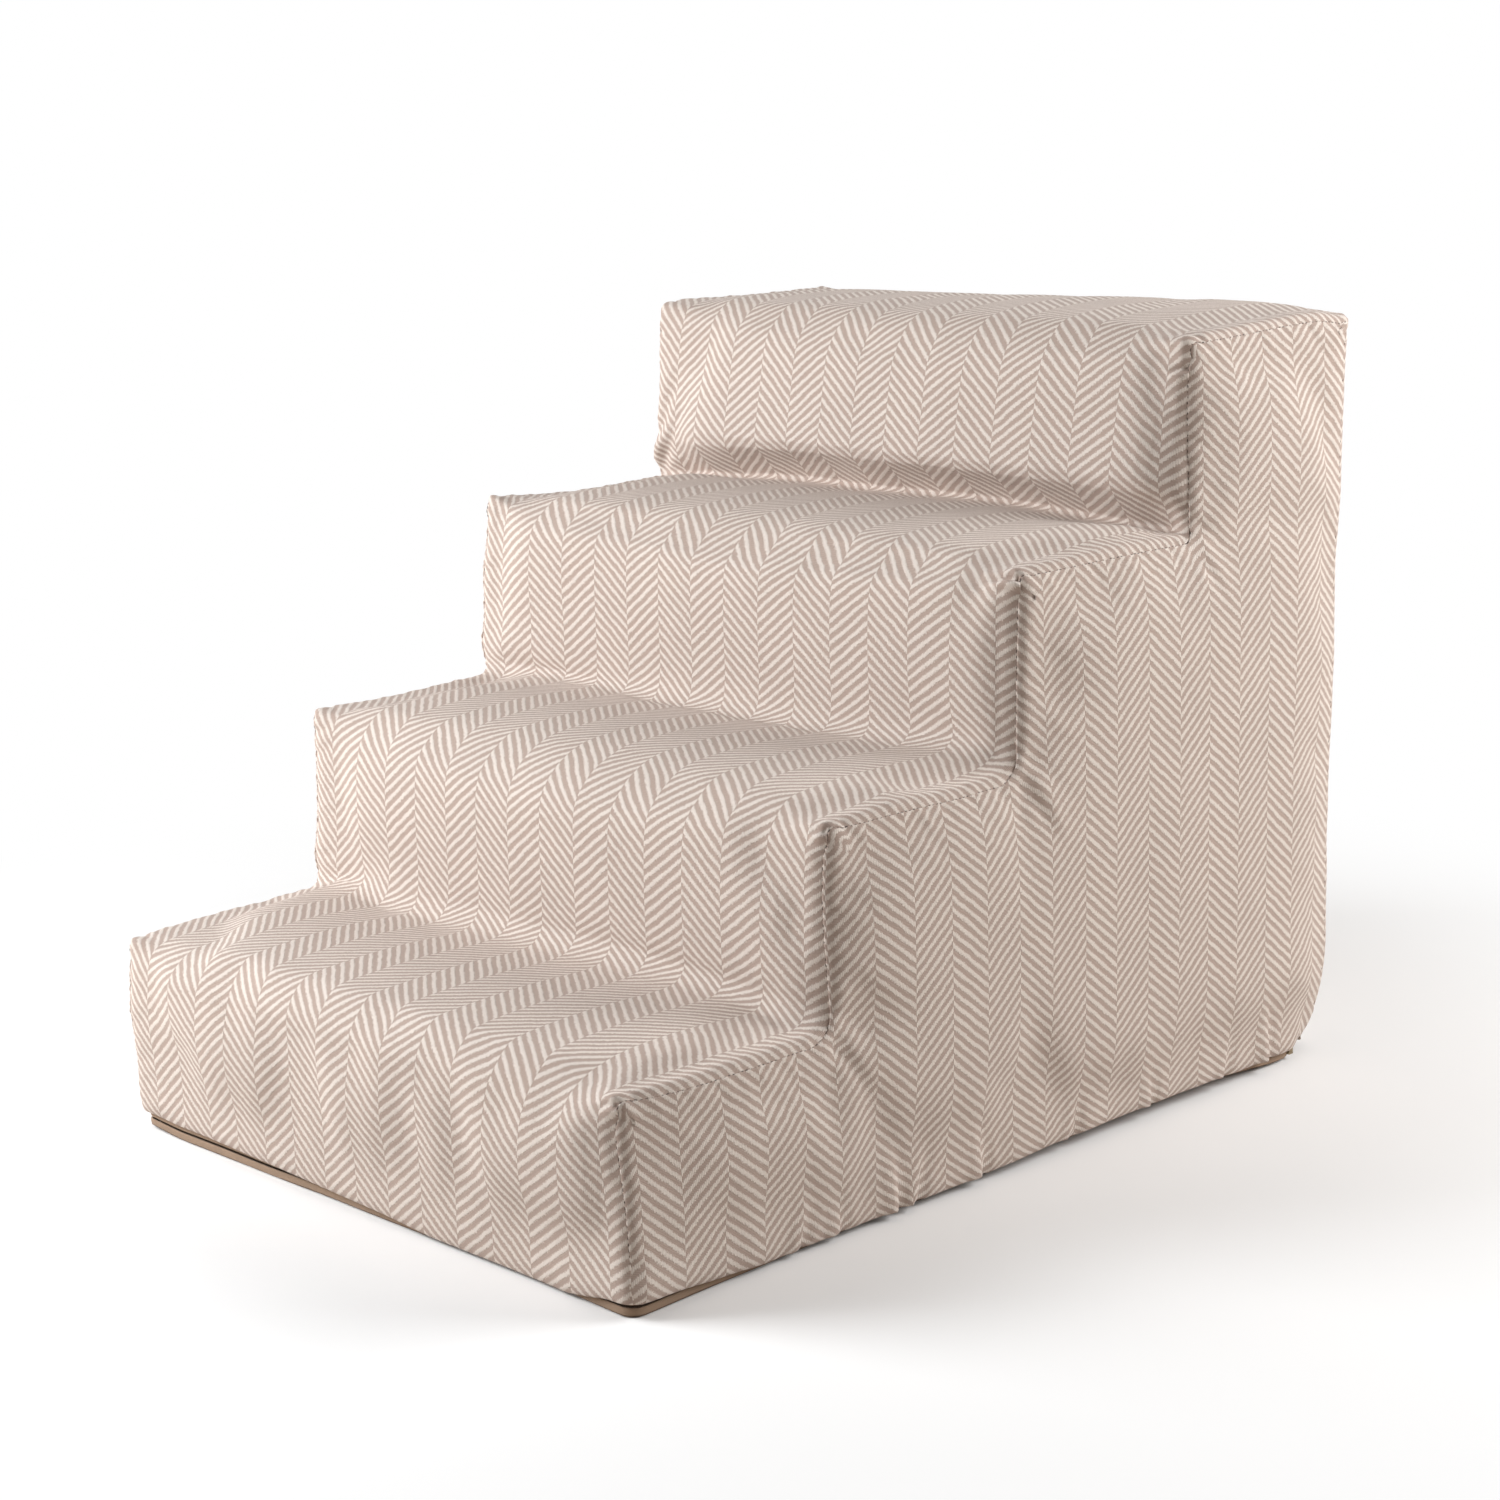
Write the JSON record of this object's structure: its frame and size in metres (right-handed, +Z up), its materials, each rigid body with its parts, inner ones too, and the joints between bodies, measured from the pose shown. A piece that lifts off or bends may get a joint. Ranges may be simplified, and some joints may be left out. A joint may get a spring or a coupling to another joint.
{
  "type": "pet stairs",
  "caption": "Foam pet stairs in a sewn herringbone cloth cover, with a zip along the foot so that the cover comes off.",
  "frame": {"origin": "on the floor, under the middle of the stairs", "axes": "+Y the way the stairs climb, towards the back; +X across the steps, to the climber's right; +Z up"},
  "size_m": [0.443, 0.6, 0.4599],
  "materials": {
    "foam": "open-cell polyurethane foam",
    "strip_cloth": "woven herringbone, taupe on cream",
    "side_cloth": "woven herringbone, taupe on cream",
    "base_cloth": "plain brown woven base cloth",
    "thread": "polyester sewing thread",
    "zip_tape": "woven zip tape",
    "zip_coil": "nylon coil",
    "zip_metal": "plated die-cast zinc"
  },
  "bodies": {
    "stairs": {"foam_slab_1": "foam", "foam_slab_2": "foam", "foam_slab_3": "foam", "foam_slab_4": "foam", "tread_strip": "strip_cloth", "side_panel_left": "side_cloth", "side_panel_right": "side_cloth", "back_panel": "side_cloth", "base_panel": "base_cloth", "seam_thread_left": "thread", "seam_thread_right": "thread", "seam_thread_back": "thread", "seam_thread_base": "thread", "zip_tape_upper": "zip_tape", "zip_tape_lower": "zip_tape", "coil_row_upper": "zip_coil", "coil_row_lower": "zip_coil", "top_stops": "zip_metal", "bottom_stop": "zip_metal"},
    "zip_slider": {"slider_body": "zip_metal"},
    "zip_pull": {"pull_tab": "zip_metal"}
  },
  "joints": [
    {"name": "slider_travel", "type": "slide", "parent": "stairs", "child": "zip_slider", "axis": [0, -1, 0], "range_m": [0, 0.54], "deforming": ["coil_row_upper", "coil_row_lower"]},
    {"name": "pull_swing", "type": "hinge", "parent": "zip_slider", "child": "zip_pull", "pos_m": [-0.219, 0.26, 0.0059], "axis": [0, 0, 1], "range_deg": [0, 180]}
  ]
}
